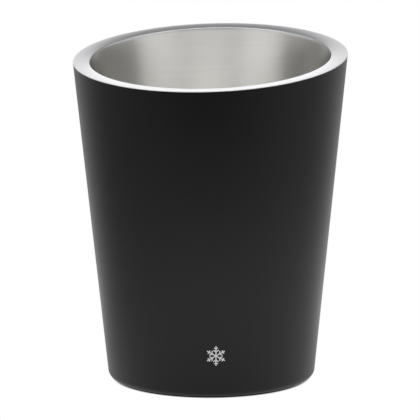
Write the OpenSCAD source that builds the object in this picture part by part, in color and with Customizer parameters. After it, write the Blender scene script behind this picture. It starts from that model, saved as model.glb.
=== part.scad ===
/* [Body] */
// Height of the rim's centre above the table
height = 240; // [200:1:300]
// Outer diameter of the wall where its slope would meet the table
base_d = 153; // [140:1:170]
// Outer diameter of the wall at the height of the rim's centre
top_d = 202; // [190:1:230]
// Thickness of the sheet that the shell, the liner and the base are pressed from
sheet = 0.8; // [0.6:0.1:1.2]
// Outside radius of the rounded corner at the foot of the shell
corner_r = 6; // [4:0.5:8]

/* [Rim] */
// Slope of the rim in degrees, low at the front (-Y) and high at the back (+Y)
rim_slope = 9; // [0:0.5:12]
// Width of the rim, from the shell's outer face to the liner's inner face
rim_w = 12; // [9:0.5:16]
// Thickness of the rim ring
rim_t = 1.2; // [0.8:0.1:1.5]
// How far the rim's top falls from its outer edge to its inner edge
rim_fall = 0.7; // [0.2:0.1:1.5]
// Depth of the collar that turns down into the mouth, measured from the rim's top
collar_h = 1.6; // [1.6:0.2:8]

/* [Liner] */
// Height of the underside of the liner's floor above the table
liner_z = 14; // [12:0.5:24]
// Outside radius of the corner between the liner's wall and its floor
liner_corner_r = 12; // [6:0.5:20]

/* [Base] */
// Radius of the round opening in the foot of the shell
base_opening_r = 66; // [60:0.5:67]
// Width of the lap between the base plate and the shell's turned-in lip
base_lap = 4.6; // [2:0.1:5]
// Radius of the raised centre of the base plate
base_centre_r = 44; // [30:1:46]
// Height of the raised centre of the base plate
base_rise = 2; // [1:0.1:3]
// How far the foot ring stands out below the shell
foot_proud = 0.8; // [0.4:0.1:1.5]
// Outer radius of the foot ring
foot_outer_r = 63; // [58:0.5:64]
// Inner radius of the foot ring
foot_inner_r = 51; // [47:0.5:54]

/* [Vent plug and spacer] */
// Radius of the vent hole in the base plate
vent_r = 3; // [2:0.25:4]
// Radius of the vent plug's head
plug_head_r = 6; // [5:0.25:8]
// Thickness of the vent plug's head
plug_head_t = 1.2; // [0.8:0.1:1.5]
// Outer radius of the spacer between the two floors
spacer_outer_r = 38; // [25:1:40]
// Inner radius of the spacer between the two floors
spacer_inner_r = 11; // [8:1:15]

/* [Hidden] */
$fn = 128;

// How much the wall's radius grows for each millimetre of height
taper = (top_d - base_d) / 2 / height;
taper_angle = atan(taper);
// The walls are drawn up to here and then cut off by the slope of the rim
wall_top = height + top_d / 2;
// Fall of the rim's top for each millimetre towards the middle
rim_cone = rim_fall / rim_w;
// Radius of the tools that cut the walls along the rim
cut_r = 0.75 * top_d;
// Turn of those tools about their own axis, in degrees
seam_turn = 40;
// Heights of the base plate's two flat areas, undersides
base_z = foot_proud + sheet;
base_centre_z = base_z + base_rise;
// The slope between those two areas is as wide as it is high
base_step_r = base_centre_r - base_rise;
// The plug's barb is a cone above the plate that holds it in the hole
barb_gap = 1.2;
barb_h = 3;

// Flats that a round corner is drawn with
corner_steps = 10;

// Outer radius of the wall at height z
function wall_r(z) = base_d / 2 + taper * z;

// Points of a round corner of radius r about [x, z], from straight down round to the wall
function corner_arc(x, z, r) = [
  for (i = [0 : corner_steps])
    let (a = i / corner_steps * (90 - taper_angle))
    [x + r * sin(a), z - r * cos(a)]
];

// Half section of a filled cup whose wall lies inset from the shell's outer face,
// with its floor at z0 and a round corner of radius r between them
module cup_half(inset, z0, r) {
  corner_z = z0 + r;
  corner_x = wall_r(corner_z) - inset - r / cos(taper_angle);
  polygon(concat(
    [[0, z0]],
    corner_arc(corner_x, corner_z, r),
    [[wall_r(wall_top) - inset, wall_top], [0, wall_top]]
  ));
}

// Sheet metal cup: the outside stands inset from the shell's outer face and its floor is at z0
module cup(inset, z0, r) {
  rotate_extrude() difference() {
    cup_half(inset, z0, r);
    cup_half(inset + sheet, z0 + sheet, r - sheet);
  }
}

// Solid cone that follows the wall, inset from the shell's outer face
module wall_cone(inset) {
  cylinder(h = wall_top, r1 = wall_r(0) - inset, r2 = wall_r(wall_top) - inset);
}

// Everything below the rim's top face, after that face is lowered by drop.
// The face is a very shallow funnel, tilted by the slope of the rim. It is turned about its
// own axis so that its seam doesn't meet the seam of the wall.
module below_rim(drop) {
  funnel_h = 2 * cut_r * rim_cone;
  translate([0, 0, height])
    rotate([rim_slope, 0, 0])
    rotate([0, 0, seam_turn])
    translate([0, 0, -drop])
    difference() {
      translate([0, 0, -2 * height]) cylinder(h = 2 * height + funnel_h / 2, r = cut_r);
      translate([0, 0, -top_d / 2 * rim_cone]) cylinder(h = funnel_h, r1 = 0, r2 = 2 * cut_r);
    }
}

// Black outer shell: tapered wall, slanted top, rounded foot and a turned-in lip
module outer_shell() {
  color("#1c1c1e") difference() {
    intersection() {
      cup(0, foot_proud, corner_r);
      below_rim(rim_t);
    }
    cylinder(h = corner_r, r = base_opening_r);
  }
}

// Bright inner liner: a seamless cup that the ice and the bottle stand in
module inner_liner() {
  color("#b9b8b2") intersection() {
    cup(rim_w - sheet, liner_z, liner_corner_r);
    below_rim(collar_h);
  }
}

// Slanted rim ring: a flat band over both walls and a collar down to the liner
module rim_ring() {
  color("#d8d8dc") difference() {
    intersection() {
      wall_cone(0);
      below_rim(0);
    }
    difference() {
      below_rim(rim_t);
      wall_cone(rim_w - sheet);
    }
    below_rim(collar_h);
    wall_cone(rim_w);
  }
}

// Base plate: laps over the shell's lip from inside, with a raised centre and a vent hole
module base_plate() {
  outer_r = base_opening_r + base_lap;
  color("#1c1c1e") rotate_extrude() polygon([
    [vent_r, base_centre_z],
    [base_step_r, base_centre_z],
    [base_centre_r, base_z],
    [outer_r, base_z],
    [outer_r, base_z + sheet],
    [base_centre_r, base_z + sheet],
    [base_step_r, base_centre_z + sheet],
    [vent_r, base_centre_z + sheet]
  ]);
}

// Rubber foot ring, stuck to the base plate inside the shell's lip
module foot_ring() {
  edge = 0.4;
  color("#2a2a2b") rotate_extrude() polygon([
    [foot_inner_r + edge, 0],
    [foot_outer_r - edge, 0],
    [foot_outer_r, edge],
    [foot_outer_r, base_z],
    [foot_inner_r, base_z],
    [foot_inner_r, edge]
  ]);
}

// Push-in plug that closes the vent hole after the coating is baked
module vent_plug() {
  plate_top = base_centre_z + sheet;
  color("#3a3a3c") rotate_extrude() polygon([
    [0, base_centre_z - plug_head_t],
    [plug_head_r - 0.5, base_centre_z - plug_head_t],
    [plug_head_r, base_centre_z - plug_head_t + 0.5],
    [plug_head_r, base_centre_z],
    [vent_r, base_centre_z],
    [vent_r, plate_top],
    [vent_r + barb_gap, plate_top],
    [vent_r - 0.5, plate_top + barb_h],
    [0, plate_top + barb_h]
  ]);
}

// Foam spacer that carries the liner's floor on the base plate
module floor_spacer() {
  z0 = base_centre_z + sheet;
  color("#e8e6e0") translate([0, 0, z0]) difference() {
    cylinder(h = liner_z - z0, r = spacer_outer_r);
    translate([0, 0, -1]) cylinder(h = liner_z, r = spacer_inner_r);
  }
}

outer_shell();
inner_liner();
rim_ring();
base_plate();
foot_ring();
vent_plug();
floor_spacer();
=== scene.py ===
"""A double-walled champagne cooler with a slanted rim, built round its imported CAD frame."""

import math

import bpy
from mathutils import Matrix, Vector
from mathutils.geometry import delaunay_2d_cdt


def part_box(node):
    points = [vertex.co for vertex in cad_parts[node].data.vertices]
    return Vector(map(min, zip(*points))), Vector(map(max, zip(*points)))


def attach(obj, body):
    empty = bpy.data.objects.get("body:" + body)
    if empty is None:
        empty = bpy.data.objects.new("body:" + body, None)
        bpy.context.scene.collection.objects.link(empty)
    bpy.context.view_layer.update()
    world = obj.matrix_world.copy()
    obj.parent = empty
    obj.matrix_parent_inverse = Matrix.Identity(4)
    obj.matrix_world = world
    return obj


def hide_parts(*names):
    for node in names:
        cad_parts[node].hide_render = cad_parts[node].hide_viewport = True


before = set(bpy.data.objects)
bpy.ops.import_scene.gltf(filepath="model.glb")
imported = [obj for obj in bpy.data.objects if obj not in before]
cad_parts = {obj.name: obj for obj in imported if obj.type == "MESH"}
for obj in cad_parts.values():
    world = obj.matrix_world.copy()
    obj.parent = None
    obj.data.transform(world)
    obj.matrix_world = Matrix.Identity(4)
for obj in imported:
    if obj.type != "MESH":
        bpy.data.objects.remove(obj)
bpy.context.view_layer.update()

# ---------------------------------------------------------------- sizes read from the frame (metres)
FOOT_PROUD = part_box("outer_shell")[0].z  # how far the foot ring stands out below the shell
LINER_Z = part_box("inner_liner")[0].z  # underside of the liner's floor
BASE_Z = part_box("base_plate")[0].z  # underside of the base plate's outer flat
BASE_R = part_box("base_plate")[1].x
PLATE_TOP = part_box("base_plate")[1].z  # top of the base plate's raised centre
FOOT_OUTER_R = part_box("foot_ring")[1].x
PLUG_HEAD_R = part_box("vent_plug")[1].x
PLUG_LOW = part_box("vent_plug")[0].z
PLUG_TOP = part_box("vent_plug")[1].z
SPACER_OUTER_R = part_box("floor_spacer")[1].x

# ---------------------------------------------------------------- driving dimensions (metres)
HEIGHT = 0.240  # the rim's centre above the table
BASE_D = 0.153  # outer diameter of the wall, run down to the table
TOP_D = 0.202  # outer diameter of the wall at HEIGHT
SHEET = 0.0008  # shell, liner and base plate
CORNER_R = 0.006  # outside radius at the foot of the shell
RIM_SLOPE = math.radians(9)  # low at -Y, high at +Y
RIM_W = 0.012  # shell's outer face to liner's inner face
RIM_T = 0.0012  # thickness of the rim ring
RIM_FALL = 0.0007  # how far the ring's top falls towards the mouth
COLLAR_H = 0.0016  # depth of the ring's collar in the mouth
LIP_R = 0.0002  # rounding of the ring's inner edge
CROWN = 0.0001  # how far the ring's top bulges between its edges
EDGE_R = 0.0001  # worn bevel on the ring's outer edge
COAT = 0.00015  # film of black coat that runs up over the ring's edge
LINER_CORNER_R = 0.012
OPENING_R = 0.066  # opening in the foot of the shell
BASE_CENTRE_R = 0.044  # raised centre of the base plate
FOOT_INNER_R = 0.051
VENT_R = 0.003
BARB_W = 0.0012  # how far the plug's barb stands out past the vent hole
SPACER_INNER_R = 0.011
SEGMENTS = 288  # columns of faces round the axis

TAPER = (TOP_D - BASE_D) / 2 / HEIGHT
TAPER_ANGLE = math.atan(TAPER)
RIM_CONE = RIM_FALL / RIM_W
CENTRE_Z = PLATE_TOP - SHEET  # underside of the base plate's raised centre
BASE_RISE = CENTRE_Z - BASE_Z


def wall_r(z):
    """Outer radius of the wall at height z."""
    return BASE_D / 2 + TAPER * z


def rim_z(x, y):
    """Height of the rim's top face over a point, on its shallow tilted funnel."""
    z = HEIGHT
    for _ in range(12):
        along = y * math.cos(RIM_SLOPE) + (z - HEIGHT) * math.sin(RIM_SLOPE)
        lift = RIM_CONE * (math.hypot(x, along) - TOP_D / 2)
        z = HEIGHT + (lift + y * math.sin(RIM_SLOPE)) / math.cos(RIM_SLOPE)
    return z


def rim_point(turn, inset, drop):
    """Radius and height of the point under the rim that lies inset from the wall's outer face."""
    z = HEIGHT
    for _ in range(12):
        radius = wall_r(z) - inset
        z = rim_z(radius * math.cos(turn), radius * math.sin(turn)) - drop
    return radius, z


# ---------------------------------------------------------------- mesh helpers
def arc(centre, radius, start, end, steps):
    """Points of an arc in a profile. Angles are in degrees, 0 outward and 90 up."""
    points = []
    for i in range(steps + 1):
        a = math.radians(start + (end - start) * i / steps)
        points.append((centre[0] + radius * math.cos(a), centre[1] + radius * math.sin(a)))
    return points


def span(a, b, steps):
    """Points strictly between two profile points."""
    return [
        (a[0] + (b[0] - a[0]) * i / steps, a[1] + (b[1] - a[1]) * i / steps)
        for i in range(1, steps)
    ]


def new_piece(name, verts, faces, material, sharp=35):
    mesh = bpy.data.meshes.new(name)
    mesh.from_pydata(verts, [], faces)
    mesh.validate()
    mesh.shade_smooth()
    mesh.set_sharp_from_angle(angle=math.radians(sharp))
    mesh.materials.append(material)
    piece = bpy.data.objects.new(name, mesh)
    bpy.context.scene.collection.objects.link(piece)
    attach(piece, "root")
    return piece


def revolved(name, profile_at, material, sharp=35, segments=SEGMENTS):
    """A closed solid of revolution whose (radius, height) profile may change with the turn.
    A profile runs so that its outward side is on its right, and it may begin and end on the axis."""
    verts, faces, rows = [], [], []
    poles = {}
    for s in range(segments):
        turn = 2 * math.pi * s / segments
        row = []
        for i, (radius, z) in enumerate(profile_at(turn)):
            if radius == 0:
                if i not in poles:
                    poles[i] = len(verts)
                    verts.append((0, 0, z))
                row.append(poles[i])
            else:
                row.append(len(verts))
                verts.append((radius * math.cos(turn), radius * math.sin(turn), z))
        rows.append(row)
    for s in range(segments):
        here, there = rows[s], rows[(s + 1) % segments]
        count = len(here)
        for i in range(count if not poles else count - 1):
            j = (i + 1) % count
            corners = [here[i], there[i], there[j], here[j]]
            face = [c for k, c in enumerate(corners) if c not in corners[:k]]
            faces.append(face)
    return new_piece(name, verts, faces, material, sharp)


# ---------------------------------------------------------------- directions
CAMERA_TURN = math.radians(9.85)  # the camera stands this far from -Y towards +X


def around(azimuth, elevation):
    """Unit vector away from the object. Azimuth 0 is the camera's side, 90 its right."""
    turn = CAMERA_TURN + math.radians(azimuth)
    up = math.radians(elevation)
    return Vector((math.sin(turn) * math.cos(up), -math.cos(turn) * math.cos(up), math.sin(up)))


def by_height(stops):
    """Turns the elevations of stops, in degrees, into heights on the unit sphere."""
    return [(math.sin(math.radians(elevation)), level) for elevation, level in stops]


# ---------------------------------------------------------------- material helpers
class Nodes:
    """Short calls for wiring one material or the world."""

    def __init__(self, owner, shader, out, place):
        self.owner = owner
        owner.use_nodes = True
        self.tree = owner.node_tree
        self.tree.nodes.clear()
        self.shader = self.add(shader)
        self.link(self.shader.outputs[0], self.add(out).inputs["Surface"])
        self.place = self.add("ShaderNodeTexCoord").outputs[place]

    def add(self, kind, **settings):
        node = self.tree.nodes.new(kind)
        for key, value in settings.items():
            setattr(node, key, value)
        return node

    def link(self, a, b):
        self.tree.links.new(a, b)

    def math(self, operation, a, b=0.0, c=0.0):
        node = self.add("ShaderNodeMath", operation=operation)
        for socket, value in zip(node.inputs, (a, b, c)):
            if isinstance(value, (int, float)):
                socket.default_value = value
            else:
                self.link(value, socket)
        return node.outputs[0]

    def squares(self, a, b):
        """Sum of the squares of two values."""
        return self.math("ADD", self.math("MULTIPLY", a, a), self.math("MULTIPLY", b, b))

    def scaled(self, vector, sx, sy, sz):
        node = self.add("ShaderNodeMapping")
        node.inputs["Scale"].default_value = (sx, sy, sz)
        self.link(vector, node.inputs["Vector"])
        return node.outputs[0]

    def noise(self, vector, scale, detail, rough=0.5):
        node = self.add("ShaderNodeTexNoise")
        node.inputs["Scale"].default_value = scale
        node.inputs["Detail"].default_value = detail
        node.inputs["Roughness"].default_value = rough
        self.link(vector, node.inputs["Vector"])
        return node.outputs["Fac"]

    def spread(self, value, low, high):
        """Maps 0..1 to low..high."""
        node = self.add("ShaderNodeMapRange")
        node.inputs["To Min"].default_value = low
        node.inputs["To Max"].default_value = high
        self.link(value, node.inputs["Value"])
        return node.outputs[0]

    def smooth(self, value, start, end, low, high):
        """Low up to start, high from end on, and an S between them."""
        node = self.add("ShaderNodeMapRange", interpolation_type="SMOOTHSTEP")
        for name, number in (("From Min", start), ("From Max", end), ("To Min", low), ("To Max", high)):
            node.inputs[name].default_value = number
        self.link(value, node.inputs["Value"])
        return node.outputs[0]

    def blend(self, factor, a, b):
        node = self.add("ShaderNodeMix", data_type="RGBA")
        self.link(factor, node.inputs[0])
        node.inputs[6].default_value = (*a, 1)
        node.inputs[7].default_value = (*b, 1)
        return node.outputs[2]

    def bump(self, height, strength, distance):
        node = self.add("ShaderNodeBump")
        node.inputs["Strength"].default_value = strength
        node.inputs["Distance"].default_value = distance
        self.link(height, node.inputs["Height"])
        self.link(node.outputs[0], self.shader.inputs["Normal"])

    def set(self, **values):
        for key, value in values.items():
            socket = self.shader.inputs[key.replace("_", " ")]
            if isinstance(value, (int, float)):
                socket.default_value = value
            elif isinstance(value, tuple):
                socket.default_value = (*value, 1)
            else:
                self.link(value, socket)

    def round_place(self):
        """Coordinates for marks that run round the axis: slow round it, fast along the profile."""
        parts = self.add("ShaderNodeSeparateXYZ")
        self.link(self.place, parts.inputs[0])
        x, y, z = parts.outputs
        radius = self.math("SQRT", self.squares(x, y))
        joined = self.add("ShaderNodeCombineXYZ")
        self.link(x, joined.inputs[0])
        self.link(y, joined.inputs[1])
        self.link(self.math("ADD", radius, z), joined.inputs[2])
        return joined.outputs[0]

    def round_tangent(self):
        tangent = self.add("ShaderNodeTangent", direction_type="RADIAL", axis="Z")
        self.link(tangent.outputs[0], self.shader.inputs["Tangent"])

    def along(self, direction):
        """The place's distance along a direction."""
        node = self.add("ShaderNodeVectorMath", operation="DOT_PRODUCT")
        node.inputs[1].default_value = direction
        self.link(self.place, node.inputs[0])
        return node.outputs["Value"]

    def ramp(self, value, stops, scale):
        """Straight lines through (value, level) stops, as a share of scale."""
        node = self.add("ShaderNodeValToRGB")
        self.link(value, node.inputs[0])
        elements = node.color_ramp.elements
        for i, (position, level) in enumerate(stops):
            stop = elements[i] if i < 2 else elements.new(position)
            stop.position = position
            stop.color = (level / scale, level / scale, level / scale, 1)
        return node.outputs[0]

    def four_sides(self, value, ramps, scale):
        """Mixes the ramps of the front, right, back and left by the direction of the place."""
        across = self.along(around(90, 0))
        depth = self.along(around(180, 0))
        flat = self.math("MAXIMUM", self.squares(across, depth), 0.000001)
        total = 0.0
        for reach, sign, stops in zip((depth, across, depth, across), (-1, 1, 1, -1), ramps):
            part = self.math("MAXIMUM", self.math("MULTIPLY", reach, sign), 0.0)
            share = self.math("DIVIDE", self.math("MULTIPLY", part, part), flat)
            total = self.math("MULTIPLY_ADD", self.ramp(value, stops, scale), share, total)
        return total

    def panel(self, height, azimuth, width, stops, scale):
        """An upright panel of light. Width is two half angles, to where it is full and to its edge."""
        flat = self.math("SQRT", self.math("SUBTRACT", 1.0, self.math("MULTIPLY", height, height)))
        facing = self.math("DIVIDE", self.along(around(azimuth, 0)), self.math("MAXIMUM", flat, 0.001))
        full, end = (math.cos(math.radians(a)) for a in width)
        band = self.ramp(height, by_height(stops), scale)
        return self.math("MULTIPLY", band, self.smooth(facing, end, full, 0.0, scale))


def new_material(name):
    material = bpy.data.materials.new(name)
    return Nodes(material, "ShaderNodeBsdfPrincipled", "ShaderNodeOutputMaterial", "Object")


# ---------------------------------------------------------------- materials
def black_coat():
    """Matte black powder coat: a fine pebbled skin with a soft sheen."""
    n = new_material("black_coat")
    pebble = n.noise(n.place, 2600, 2.0)
    drift = n.noise(n.place, 24, 3.0)
    n.set(
        Base_Color=n.blend(drift, (0.0032, 0.0032, 0.0037), (0.0046, 0.0046, 0.0052)),
        Roughness=n.spread(drift, 0.34, 0.38),
        Specular_IOR_Level=0.42,
    )
    n.bump(pebble, 0.10, 0.00004)
    return n.owner


def brushed_steel():
    """Stainless liner, brushed round the axis."""
    n = new_material("brushed_steel")
    round_place = n.round_place()
    fine = n.noise(n.scaled(round_place, 14, 14, 2600), 1.0, 3.0, 0.6)
    broad = n.noise(n.scaled(round_place, 9, 9, 420), 1.0, 2.0)
    grain = n.math("ADD", n.math("MULTIPLY", fine, 0.65), n.math("MULTIPLY", broad, 0.35))
    n.set(
        Metallic=1.0,
        Base_Color=n.blend(grain, (0.73, 0.721, 0.695), (0.85, 0.841, 0.812)),
        Roughness=n.spread(grain, 0.32, 0.38),
        Anisotropic=1.0,
        Anisotropic_Rotation=0.25,
    )
    n.round_tangent()
    n.bump(grain, 0.10, 0.00003)
    return n.owner


def satin_rim():
    """The rim's band: steel polished to a satin, duller on the collar below the lip."""
    n = new_material("satin_rim")
    round_place = n.round_place()
    grain = n.noise(n.scaled(round_place, 10, 10, 1800), 1.0, 3.0, 0.6)
    height = n.along((0, -math.sin(RIM_SLOPE), math.cos(RIM_SLOPE)))
    lip = HEIGHT * math.cos(RIM_SLOPE) - RIM_FALL
    collar = n.smooth(height, lip - LIP_R * 3, lip - LIP_R * 1.5, 0.3, 0.0)
    n.set(
        Metallic=1.0,
        Base_Color=n.blend(grain, (0.70, 0.70, 0.72), (0.76, 0.76, 0.78)),
        Roughness=n.math("ADD", n.spread(grain, 0.14, 0.20), collar),
    )
    n.bump(grain, 0.05, 0.00002)
    return n.owner


def foot_rubber():
    """Silicone rubber of the foot ring and the plug."""
    n = new_material("foot_rubber")
    grain = n.noise(n.place, 1800, 3.0)
    n.set(
        Base_Color=n.blend(grain, (0.018, 0.018, 0.019), (0.030, 0.030, 0.031)),
        Roughness=n.spread(grain, 0.62, 0.78),
        Specular_IOR_Level=0.35,
    )
    n.bump(grain, 0.25, 0.00006)
    return n.owner


def spacer_foam():
    """Closed-cell foam between the floors."""
    n = new_material("spacer_foam")
    cells = n.add("ShaderNodeTexVoronoi")
    cells.inputs["Scale"].default_value = 700
    n.link(n.place, cells.inputs["Vector"])
    n.set(
        Base_Color=n.blend(cells.outputs["Distance"], (0.82, 0.81, 0.78), (0.66, 0.65, 0.61)),
        Roughness=0.85,
    )
    n.bump(cells.outputs["Distance"], 0.5, 0.0003)
    return n.owner


def mark_ink():
    """Pale grey ink of the printed snowflake."""
    n = new_material("mark_ink")
    speckle = n.noise(n.place, 3000, 2.0)
    n.set(
        Base_Color=n.blend(speckle, (0.60, 0.60, 0.61), (0.70, 0.70, 0.71)),
        Roughness=n.spread(speckle, 0.45, 0.6),
        Specular_IOR_Level=0.3,
    )
    return n.owner


BLACK = black_coat()
BRUSHED = brushed_steel()
SATIN = satin_rim()
RUBBER = foot_rubber()
FOAM = spacer_foam()
INK = mark_ink()


# ---------------------------------------------------------------- pieces
def corner(inset, z0, radius):
    """Centre of a round corner between a floor at z0 and the wall, inset from the outer face."""
    z = z0 + radius
    return wall_r(z) - inset - radius / math.cos(TAPER_ANGLE), z


def outer_shell():
    """Tapered wall with a rounded foot, a turned-in lip and a coat that runs up over the ring."""
    lean = math.degrees(TAPER_ANGLE)
    edge = 0.00025
    out_c = corner(0, FOOT_PROUD, CORNER_R)
    in_r = CORNER_R - SHEET
    in_c = corner(SHEET, FOOT_PROUD + SHEET, in_r)
    foot = [(OPENING_R, FOOT_PROUD + edge), (OPENING_R + edge, FOOT_PROUD)]
    outer_corner = arc(out_c, CORNER_R, -90, -lean, 16)
    inner_corner = arc(in_c, in_r, -lean, -90, 8)
    inner_lip = [(OPENING_R, FOOT_PROUD + SHEET)]

    def profile(turn):
        top = rim_point(turn, 0, CROWN + EDGE_R)
        under_edge = rim_point(turn, COAT, CROWN + EDGE_R)
        rebate = rim_point(turn, COAT, RIM_T)
        inner_top = rim_point(turn, SHEET, RIM_T)
        wall = span(outer_corner[-1], top, 16)
        back = span(inner_top, inner_corner[0], 6)
        return (
            foot + outer_corner + wall + [top, under_edge, rebate, inner_top]
            + back + inner_corner + inner_lip
        )

    piece = revolved("shell_coated", profile, BLACK)
    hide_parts("outer_shell")


def rim_ring():
    """Slanted band with a slight crown, a soft outer edge, a rounded lip and a short collar."""

    def profile(turn):
        def at(inset, drop):
            return rim_point(turn, inset, drop)

        points = [at(COAT, RIM_T), at(COAT, CROWN + EDGE_R)]
        for i in range(4):
            a = math.radians(90 * i / 3)
            points.append(at(EDGE_R * (1 - math.cos(a)), CROWN + EDGE_R * (1 - math.sin(a))))
        lip_start = RIM_W - LIP_R
        for i in range(1, 12):
            t = i / 12
            points.append(at(EDGE_R + (lip_start - EDGE_R) * t, CROWN * (2 * t - 1) ** 2))
        for i in range(7):
            a = math.radians(90 * i / 6)
            points.append(at(lip_start + LIP_R * math.sin(a), CROWN + LIP_R * (1 - math.cos(a))))
        points += [at(RIM_W, COLLAR_H), at(RIM_W - SHEET, COLLAR_H), at(RIM_W - SHEET, RIM_T + SHEET)]
        points.append(at(RIM_W - SHEET * 2, RIM_T))
        return points

    piece = revolved("rim_band", profile, SATIN, sharp=40)
    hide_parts("rim_ring")


def inner_liner():
    """The brushed cup: floor, round corner and tapered wall up to the ring's collar."""
    lean = math.degrees(TAPER_ANGLE)
    floor_z = LINER_Z + SHEET
    in_r = LINER_CORNER_R - SHEET
    in_corner = arc(corner(RIM_W, floor_z, in_r), in_r, -90, -lean, 14)
    out_corner = arc(corner(RIM_W - SHEET, LINER_Z, LINER_CORNER_R), LINER_CORNER_R, -lean, -90, 10)

    def profile(turn):
        inner_top = rim_point(turn, RIM_W, COLLAR_H)
        outer_top = rim_point(turn, RIM_W - SHEET, COLLAR_H)
        floor = [(0, floor_z)] + span((0, floor_z), in_corner[0], 10)
        wall = span(in_corner[-1], inner_top, 16)
        back = span(outer_top, out_corner[0], 6)
        under = span(out_corner[-1], (0, LINER_Z), 4) + [(0, LINER_Z)]
        points = floor + in_corner + wall + [inner_top, outer_top] + back + out_corner + under
        return points[::-1]

    piece = revolved("liner_brushed", profile, BRUSHED)
    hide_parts("inner_liner")


def base_plate():
    """Pressed disc with a softly stepped centre and a vent hole, laid over the shell's lip."""
    step_middle = BASE_CENTRE_R - BASE_RISE / 2
    step_w = BASE_RISE * 1.2

    def face(z):
        """Points of one face from the vent outwards. The step is an S of two bends."""
        points = [(VENT_R, z + BASE_RISE)]
        for i in range(13):
            t = i / 12
            drop = BASE_RISE * (1 - math.cos(math.pi * t)) / 2
            points.append((step_middle + step_w * (t - 0.5), z + BASE_RISE - drop))
        points.append((BASE_R, z))
        return points

    profile = face(BASE_Z) + face(BASE_Z + SHEET)[::-1]
    piece = revolved("base_pressed", lambda turn: profile, BLACK, segments=144)
    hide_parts("base_plate")


def foot_ring():
    """Moulded rubber ring with rounded edges and three grip grooves in its tread."""
    edge = 0.0005
    groove_depth = 0.00045
    groove_w = 0.0012
    groove_spacing = 0.003
    lower = arc((FOOT_INNER_R + edge, edge), edge, 180, 270, 6)
    for k in (-1, 0, 1):
        middle = (FOOT_INNER_R + FOOT_OUTER_R) / 2 + k * groove_spacing
        for i in range(7):
            t = i / 6
            depth = groove_depth * math.sin(math.pi * t)
            lower.append((middle + groove_w * (t - 0.5), depth))
    lower += arc((FOOT_OUTER_R - edge, edge), edge, 270, 360, 6)
    profile = lower + [(FOOT_OUTER_R, BASE_Z), (FOOT_INNER_R, BASE_Z)]
    piece = revolved("foot_grip", lambda turn: profile, RUBBER, segments=144)
    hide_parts("foot_ring")


def vent_plug():
    """Push-in plug: domed head below the plate, stem in the hole, barb above."""
    edge = 0.0004
    dome = 0.0002  # how far the head's middle stands out below its edge
    reach = PLUG_HEAD_R - edge * 3
    head = [(0, PLUG_LOW)]
    for i in range(1, 6):
        head.append((reach * i / 5, PLUG_LOW + dome * 0.6 * (i / 5) ** 2))
    head += arc((PLUG_HEAD_R - edge, PLUG_LOW + edge + dome), edge, -90, 0, 6)
    head.append((PLUG_HEAD_R, CENTRE_Z))
    stem = [(VENT_R, CENTRE_Z), (VENT_R, PLATE_TOP), (VENT_R + BARB_W, PLATE_TOP)]
    barb = [(VENT_R + BARB_W - 0.0001, PLATE_TOP + 0.0003), (VENT_R - 0.0005, PLUG_TOP), (0, PLUG_TOP)]
    profile = head + stem + barb
    piece = revolved("vent_bung", lambda turn: profile, RUBBER, segments=48)
    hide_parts("vent_plug")


def floor_spacer():
    """Foam washer between the floors, with its edges rounded over."""
    edge = 0.0008
    low, high = PLATE_TOP + edge, LINER_Z - edge
    inner, outer = SPACER_INNER_R + edge, SPACER_OUTER_R - edge
    profile = arc((outer, low), edge, -90, 0, 5) + arc((outer, high), edge, 0, 90, 5)
    profile += arc((inner, high), edge, 90, 180, 5) + arc((inner, low), edge, 180, 270, 5)
    piece = revolved("spacer_pad", lambda turn: profile, FOAM, segments=96)
    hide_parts("floor_spacer")


# ---------------------------------------------------------------- the printed snowflake
MARK_TURN = math.radians(12.2)  # from -Y towards +X
MARK_Z = 0.0324
MARK_ARM = 0.0075
MARK_TWIGS = ((0.42, 0.30), (0.70, 0.20))  # place on the arm and length, as shares of it
MARK_HALF_LINE = 0.0004
MARK_STEP = 0.0009  # longest edge along the outline
MARK_INK = (-0.00003, 0.00004)  # the ink's underside and top, out from the wall


def snowflake():
    """Outline of a six-armed snowflake with two pairs of twigs on each arm."""
    half = MARK_HALF_LINE
    lean = math.radians(60)
    side = [(math.sqrt(3) * half, half)]
    for reach, twig in MARK_TWIGS:
        at = reach * MARK_ARM
        along, out = math.cos(lean), math.sin(lean)
        inner = (half - along * half) / out
        outer = (half + along * half) / out
        end = twig * MARK_ARM
        side.append((at + along * inner - out * half, half))
        side.append((at + along * end - out * half, out * end + along * half))
        side.append((at + along * end + out * half, out * end - along * half))
        side.append((at + along * outer + out * half, half))
    side += [(MARK_ARM - half, half), (MARK_ARM, 0)]
    arm = [(u, -v) for u, v in side[1:-1]] + side[:0:-1] + [side[0]]
    outline = []
    for k in range(6):
        turn = math.radians(60 * k + 90)
        for u, v in arm:
            outline.append((
                u * math.cos(turn) - v * math.sin(turn),
                u * math.sin(turn) + v * math.cos(turn),
            ))
    return outline


def subdivided(outline, step):
    """The same outline with a point at least every step."""
    points = []
    for i, a in enumerate(outline):
        b = outline[(i + 1) % len(outline)]
        count = max(1, math.ceil(math.hypot(b[0] - a[0], b[1] - a[1]) / step))
        points += [a] + span(a, b, count)
    return points


def on_wall(across, up, out):
    """The point of the wall's outer face that lies across and up from the mark's middle."""
    z = MARK_Z + up * math.cos(TAPER_ANGLE) - out * math.sin(TAPER_ANGLE)
    radius = wall_r(MARK_Z + up * math.cos(TAPER_ANGLE)) + out * math.cos(TAPER_ANGLE)
    turn = MARK_TURN + across / radius
    return (radius * math.sin(turn), -radius * math.cos(turn), z)


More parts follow.
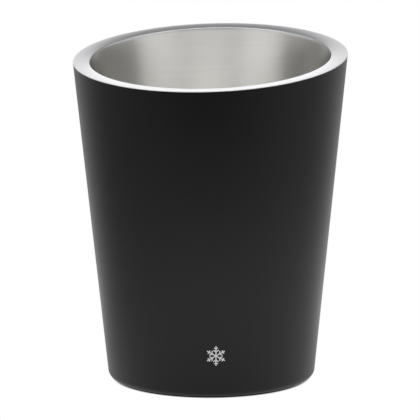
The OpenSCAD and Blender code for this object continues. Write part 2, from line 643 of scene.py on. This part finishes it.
def printed_mark():
    outline = subdivided(snowflake(), MARK_STEP)
    ring = list(range(len(outline)))
    flat, _, faces, *_ = delaunay_2d_cdt([Vector(p) for p in outline], [], [ring], 1, 1e-7)
    count = len(flat)
    low, high = MARK_INK
    verts = [on_wall(p[0], p[1], high) for p in flat] + [on_wall(p[0], p[1], low) for p in flat]
    solid = [list(f) for f in faces] + [[v + count for v in reversed(f)] for f in faces]
    edges = {edge for f in faces for edge in zip(f, list(f[1:]) + [f[0]])}
    for a, b in sorted(edges):
        if (b, a) not in edges:
            solid.append([b, a, a + count, b + count])
    new_piece("snowflake_mark", verts, solid, INK)


outer_shell()
rim_ring()
inner_liner()
base_plate()
foot_ring()
vent_plug()
floor_spacer()
printed_mark()


# ---------------------------------------------------------------- stage, light and camera
# the camera's place in metres, its turns in radians, and its sensor and lens in millimetres
CAMERA_DISTANCE = 1.8
CAMERA_HEIGHT = 0.4081
CAMERA_PITCH = 0.15566
CAMERA_ROLL = -0.00496
CAMERA_YAW = 0.00028
SENSOR = 36.0
FOCAL = 210.574

# brightness of the studio on its four sides: (elevation in degrees, level)
STUDIO_LEVEL = 4.0  # the most that a stop may have, here and in the panels
STUDIO_FRONT = ((0, 0.0), (12, 0.25), (25, 0.45), (36, 0.3), (46, 2.4), (64, 1.9), (75, 0.8), (90, 0.65))
STUDIO_RIGHT = ((0, 2.4), (12, 0.15), (24, 0.2), (40, 0.2), (65, 0.5), (90, 0.65))
STUDIO_BACK = ((0, 0.0), (30, 0.0), (45, 0.9), (65, 0.7), (90, 0.65))
STUDIO_LEFT = ((0, 2.1), (12, 0.15), (24, 0.2), (40, 0.15), (65, 0.3), (90, 0.65))
# upright panels of light behind and in front: (elevation in degrees, level), and the half angles
# across at which the full part and the panel itself end
BACKDROP = ((0, 0.2), (8, 0.35), (14, 1.05), (18, 1.45), (23, 1.0), (26, 0.62), (28.5, 0.1), (90, 0.0))
BACKDROP_WIDTH = (24, 48)
KEY = ((0, 0.0), (38, 0.0), (45, 2.0), (52, 2.2), (62, 1.8), (75, 0.1), (90, 0.0))
KEY_WIDTH = (82, 108)
# round softboxes: azimuth, elevation, angle of the full part, angle of the edge, level
SOFTBOXES = ((-56, 28, 14, 30, 0.52), (56, 28, 14, 30, 0.35), (-135, 65, 12, 30, 0.4))

# glow of the table that reflections see, on its four sides: (distance from the axis, level)
FLOOR_REACH = 4.0  # the farthest that a stop may be
FLOOR_LEVEL = 2.0  # the most that a stop may have
FLOOR_FRONT = ((0.1, 0.5), (0.28, 0.86), (0.42, 0.6), (0.6, 0.05), (1.5, 0.0))
FLOOR_RIGHT = ((0.1, 0.69), (0.3, 0.77), (0.7, 0.22), (1.5, 0.38))
FLOOR_BACK = ((0.1, 1.0), (0.3, 1.3), (0.7, 1.05), (1.5, 0.72))
FLOOR_LEFT = ((0.1, 0.64), (0.3, 0.51), (0.7, 0.13), (1.5, 0.3))
FOOTPRINT = 0.0726  # the table is dark inside this radius, a painted shadow under the bucket
FOOTPRINT_FADE = 0.002  # and brightens over this far on each side of it


def make_camera():
    data = bpy.data.cameras.new("camera")
    data.sensor_width = SENSOR
    data.lens = FOCAL
    data.clip_start, data.clip_end = 0.05, 60
    camera = bpy.data.objects.new("camera", data)
    bpy.context.scene.collection.objects.link(camera)
    place = around(0, 0) * CAMERA_DISTANCE + Vector((0, 0, CAMERA_HEIGHT))
    aim = (
        Matrix.Rotation(CAMERA_TURN + CAMERA_YAW, 4, "Z")
        @ Matrix.Rotation(math.pi / 2 - CAMERA_PITCH, 4, "X")
        @ Matrix.Rotation(CAMERA_ROLL, 4, "Z")
    )
    camera.matrix_world = Matrix.Translation(place) @ aim
    bpy.context.scene.camera = camera


def make_floor():
    """White paper. It glows, so that the camera sees it pure white except for a painted shadow under
    the bucket, where it has no glow, and reflections see a pool of light round the bucket."""
    half = 12.0
    corners = [(-half, -half, 0), (half, -half, 0), (half, half, 0), (-half, half, 0)]
    mesh = bpy.data.meshes.new("floor")
    mesh.from_pydata(corners, [], [(0, 1, 2, 3)])
    n = new_material("floor_paper")
    reach = n.add("ShaderNodeVectorMath", operation="LENGTH")
    n.link(n.place, reach.inputs[0])
    radius = reach.outputs["Value"]
    sides = (FLOOR_FRONT, FLOOR_RIGHT, FLOOR_BACK, FLOOR_LEFT)
    ramps = [[(r / FLOOR_REACH, level) for r, level in side] for side in sides]
    pool = n.four_sides(n.math("DIVIDE", radius, FLOOR_REACH), ramps, FLOOR_LEVEL)
    pool = n.math("MULTIPLY", pool, FLOOR_LEVEL)
    seen = n.add("ShaderNodeLightPath").outputs["Is Camera Ray"]
    glow = n.add("ShaderNodeMix")
    n.link(seen, glow.inputs[0])
    n.link(pool, glow.inputs[2])
    glow.inputs[3].default_value = 1.0
    # painted shadow: the glow fades to nothing inside the footprint, so the table under the bucket looks
    # shaded
    clear = n.smooth(radius, FOOTPRINT - FOOTPRINT_FADE, FOOTPRINT + FOOTPRINT_FADE, 0.0, 1.0)
    n.set(Base_Color=(0.0, 0.0, 0.0), Roughness=1.0, Specular_IOR_Level=0.0)
    n.set(Emission_Color=(1.0, 1.0, 1.0), Emission_Strength=n.math("MULTIPLY", glow.outputs[0], clear))
    mesh.materials.append(n.owner)
    floor = bpy.data.objects.new("floor", mesh)
    bpy.context.scene.collection.objects.link(floor)


def make_studio():
    """Soft light from all round: a gradient on each side, two upright panels and round softboxes."""
    world = bpy.data.worlds.new("studio")
    bpy.context.scene.world = world
    n = Nodes(world, "ShaderNodeBackground", "ShaderNodeOutputWorld", "Generated")
    height = n.along((0, 0, 1))
    ramps = [by_height(side) for side in (STUDIO_FRONT, STUDIO_RIGHT, STUDIO_BACK, STUDIO_LEFT)]
    total = n.math("MULTIPLY", n.four_sides(height, ramps, STUDIO_LEVEL), STUDIO_LEVEL)
    total = n.math("ADD", total, n.panel(height, 180, BACKDROP_WIDTH, BACKDROP, STUDIO_LEVEL))
    total = n.math("ADD", total, n.panel(height, 0, KEY_WIDTH, KEY, STUDIO_LEVEL))
    for azimuth, elevation, full, edge, level in SOFTBOXES:
        near = n.along(around(azimuth, elevation))
        spot = n.smooth(near, math.cos(math.radians(edge)), math.cos(math.radians(full)), 0.0, level)
        total = n.math("ADD", total, spot)
    n.link(total, n.shader.inputs["Color"])


make_camera()
make_floor()
make_studio()
bpy.context.scene.view_settings.view_transform = "Standard"
